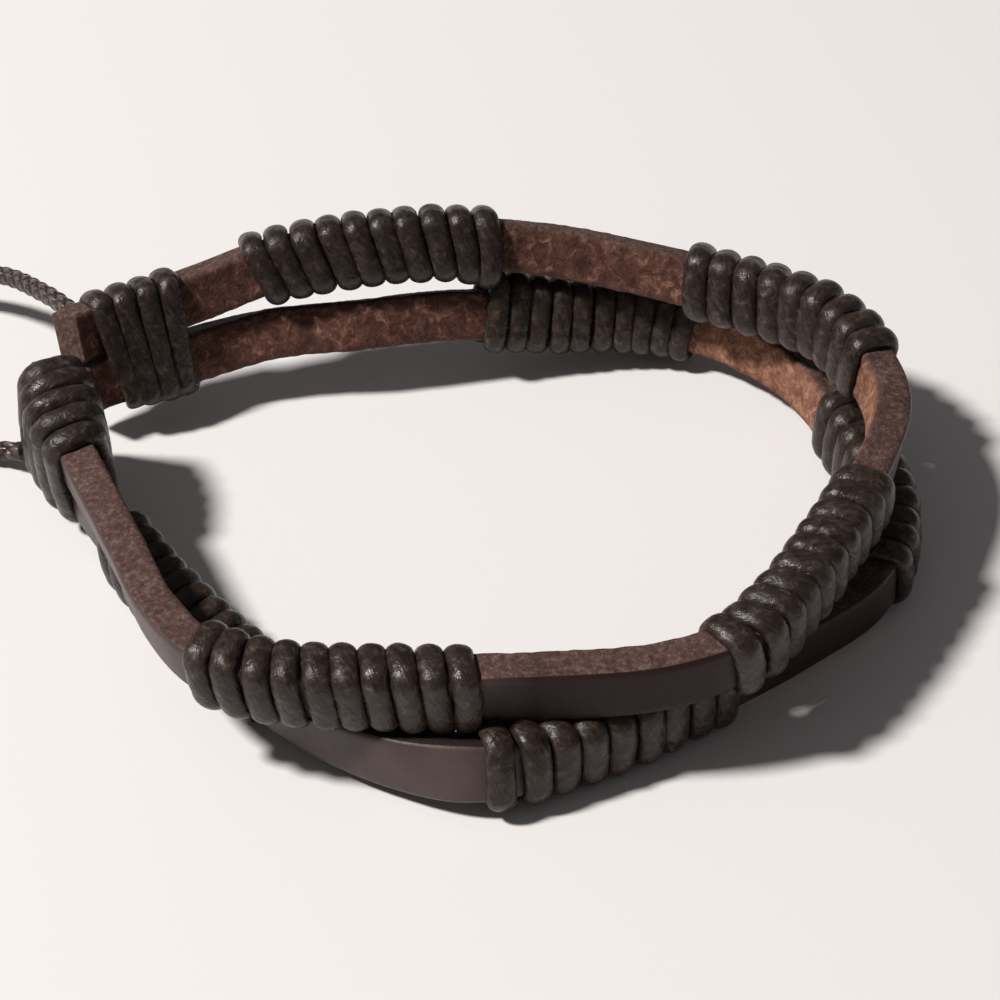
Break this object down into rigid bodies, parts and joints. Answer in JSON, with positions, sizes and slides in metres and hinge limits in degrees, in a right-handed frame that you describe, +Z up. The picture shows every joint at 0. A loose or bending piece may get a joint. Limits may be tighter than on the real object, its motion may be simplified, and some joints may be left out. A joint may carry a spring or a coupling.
{
  "type": "layered leather bracelet",
  "caption": "Loop of stacked leather straps with alternating cord wraps and a loose waxed cord with a sliding knot that draws the ends together.",
  "frame": {"origin": "on the surface that it lies on, below the middle of the leather loop's box, the loose cord left out", "axes": "+X to the right, +Y to the back and +Z up, as the loop lies flat; the loose cord leaves it toward -X"},
  "size_m": [0.1059, 0.0619, 0.0149],
  "materials": {
    "leather": "smooth dark grain side, rough brown cut edges and suede inner side",
    "waxed_cord": "waxed twisted cotton cord with small bright highlights"
  },
  "bodies": {
    "root": {"upper_strap": "leather", "lower_strap": "leather", "upper_wrap_1": "waxed_cord", "upper_wrap_2": "waxed_cord", "upper_wrap_3": "waxed_cord", "upper_wrap_4": "waxed_cord", "lower_wrap_1": "waxed_cord", "lower_wrap_2": "waxed_cord", "lower_wrap_3": "waxed_cord", "lower_wrap_4": "waxed_cord", "back_binding": "waxed_cord", "front_binding": "waxed_cord", "closure_cord": "waxed_cord", "sliding_knot": "waxed_cord"}
  },
  "joints": []
}
